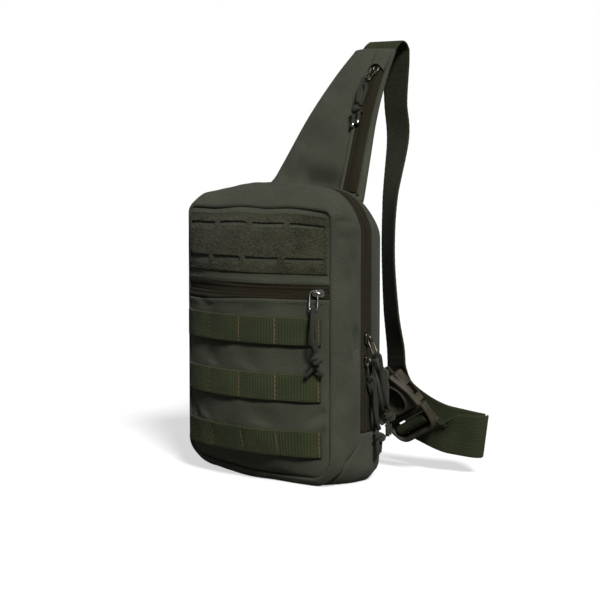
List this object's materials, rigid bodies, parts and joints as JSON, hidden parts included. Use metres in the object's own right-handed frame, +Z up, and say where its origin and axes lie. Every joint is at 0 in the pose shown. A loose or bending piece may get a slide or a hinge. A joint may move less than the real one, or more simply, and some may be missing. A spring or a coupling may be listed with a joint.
{
  "type": "sling bag",
  "caption": "Upright one-strap shoulder bag with a zipped main body, webbing ladder front, loop panel, padded shoulder wedge and side-release buckle.",
  "frame": {"origin": "middle of the flat base that the bag stands on", "axes": "+Z up, the front pocket faces -Y, +X is the side with the main zip pulls and the buckle"},
  "size_m": [0.2488, 0.2385, 0.4059],
  "materials": {
    "pack_cloth": "matt polyester pack cloth with a fine grid weave, olive grey",
    "lining": "thin coated lining cloth",
    "webbing": "ribbed nylon webbing, olive green",
    "loop_pile": "soft loop pile",
    "zip_tape": "brown-olive zip tape and nylon coil",
    "buckle_plastic": "moulded acetal, olive brown, satin",
    "cord": "braided cord, dark olive",
    "silver_metal": "bright plated zinc",
    "dark_metal": "gun-metal plated zinc"
  },
  "bodies": {
    "back_shell": {"back_panel": "lining", "back_pad": "pack_cloth", "rear_gusset": "pack_cloth", "bottom_panel": "pack_cloth", "main_zip_tape_rear": "zip_tape", "main_zip_coil_rear": "zip_tape", "shoulder_wedge": "pack_cloth", "wedge_zip_tape_inner": "zip_tape", "wedge_zip_tape_outer": "zip_tape", "wedge_zip_coil": "zip_tape", "wedge_zip_garage": "pack_cloth", "shoulder_strap": "webbing", "buckle_wing": "pack_cloth", "buckle_webbing": "webbing", "buckle_female": "buckle_plastic"},
    "front_shell": {"front_gusset": "pack_cloth", "front_panel_lower": "pack_cloth", "front_panel_upper": "pack_cloth", "front_pocket_lining": "lining", "front_seam_welt": "pack_cloth", "pocket_zip_tape_lower": "zip_tape", "pocket_zip_tape_upper": "zip_tape", "pocket_zip_coil_lower": "zip_tape", "pocket_zip_coil_upper": "zip_tape", "loop_panel": "loop_pile", "molle_row_1": "webbing", "molle_row_2": "webbing", "molle_row_3": "webbing", "main_zip_tape_front": "zip_tape", "main_zip_coil_front": "zip_tape"},
    "main_slider_upper": {"main_slider_upper": "dark_metal"},
    "main_pull_upper": {"main_pull_upper_ring": "dark_metal", "main_pull_upper_cord": "cord", "main_pull_upper_knot": "cord"},
    "main_slider_lower": {"main_slider_lower": "dark_metal"},
    "main_pull_lower": {"main_pull_lower_ring": "dark_metal", "main_pull_lower_cord": "cord", "main_pull_lower_knot": "cord"},
    "front_slider": {"front_slider": "silver_metal"},
    "front_pull": {"front_pull_ring": "silver_metal", "front_pull_cord": "cord", "front_pull_knot": "cord"},
    "wedge_slider": {"wedge_slider": "dark_metal"},
    "wedge_pull": {"wedge_pull_ring": "dark_metal", "wedge_pull_cord": "cord", "wedge_pull_knot": "cord"},
    "buckle_male": {"buckle_male": "buckle_plastic", "strap_adjuster_run": "webbing"},
    "buckle_arm_left": {"buckle_arm_left": "buckle_plastic"},
    "buckle_arm_right": {"buckle_arm_right": "buckle_plastic"}
  },
  "joints": [
    {"name": "front_shell_open", "type": "hinge", "parent": "back_shell", "child": "front_shell", "pos_m": [0, -0.034, 0.0055], "axis": [1, 0, 0], "range_deg": [0, 30]},
    {"name": "main_slider_upper_travel", "type": "slide", "parent": "back_shell", "child": "main_slider_upper", "axis": [0, 0, 1], "range_m": [0, 0.085]},
    {"name": "main_pull_upper_swing", "type": "hinge", "parent": "main_slider_upper", "child": "main_pull_upper", "pos_m": [0.0922, 0.01, 0.131], "axis": [0, -1, 0], "range_deg": [0, 70]},
    {"name": "main_slider_lower_travel", "type": "slide", "parent": "back_shell", "child": "main_slider_lower", "axis": [0, 0, 1], "range_m": [-0.022, 0]},
    {"name": "main_pull_lower_swing", "type": "hinge", "parent": "main_slider_lower", "child": "main_pull_lower", "pos_m": [0.0922, 0.01, 0.1105], "axis": [0, -1, 0], "range_deg": [0, 70]},
    {"name": "front_slider_travel", "type": "hinge", "parent": "front_shell", "child": "front_slider", "pos_m": [0, 0.0958, 0.1745], "axis": [0, 0, -1], "range_deg": [0, 54]},
    {"name": "front_pull_swing", "type": "hinge", "parent": "front_slider", "child": "front_pull", "pos_m": [0.07354, -0.04298, 0.17452], "axis": [-0.4652, 0.8852, 0], "range_deg": [0, 35]},
    {"name": "wedge_slider_travel", "type": "slide", "parent": "back_shell", "child": "wedge_slider", "axis": [-0.0486, -0.6465, -0.7614], "range_m": [0, 0.045]},
    {"name": "wedge_pull_swing", "type": "hinge", "parent": "wedge_slider", "child": "wedge_pull", "pos_m": [0.02496, 0.11189, 0.37672], "axis": [-1, 0, 0], "range_deg": [0, 80]},
    {"name": "buckle_male_release", "type": "slide", "parent": "back_shell", "child": "buckle_male", "axis": [0.4997, 0.381, -0.7779], "range_m": [0, 0.02]},
    {"name": "buckle_arm_right_press", "type": "hinge", "parent": "buckle_male", "child": "buckle_arm_right", "pos_m": [0.11027, 0.06017, 0.06759], "axis": [0.021, -0.9021, -0.431], "range_deg": [0, 6], "stiffness_Nm_per_rad": 0.08},
    {"name": "buckle_arm_left_press", "type": "hinge", "parent": "buckle_male", "child": "buckle_arm_left", "pos_m": [0.08083, 0.06693, 0.05199], "axis": [-0.021, 0.9021, 0.431], "range_deg": [0, 6], "stiffness_Nm_per_rad": 0.08}
  ],
  "couplings": [
    {"joint": "main_pull_lower_swing", "follows": "main_pull_upper_swing", "ratio": 1},
    {"joint": "buckle_arm_left_press", "follows": "buckle_arm_right_press", "ratio": 1}
  ]
}
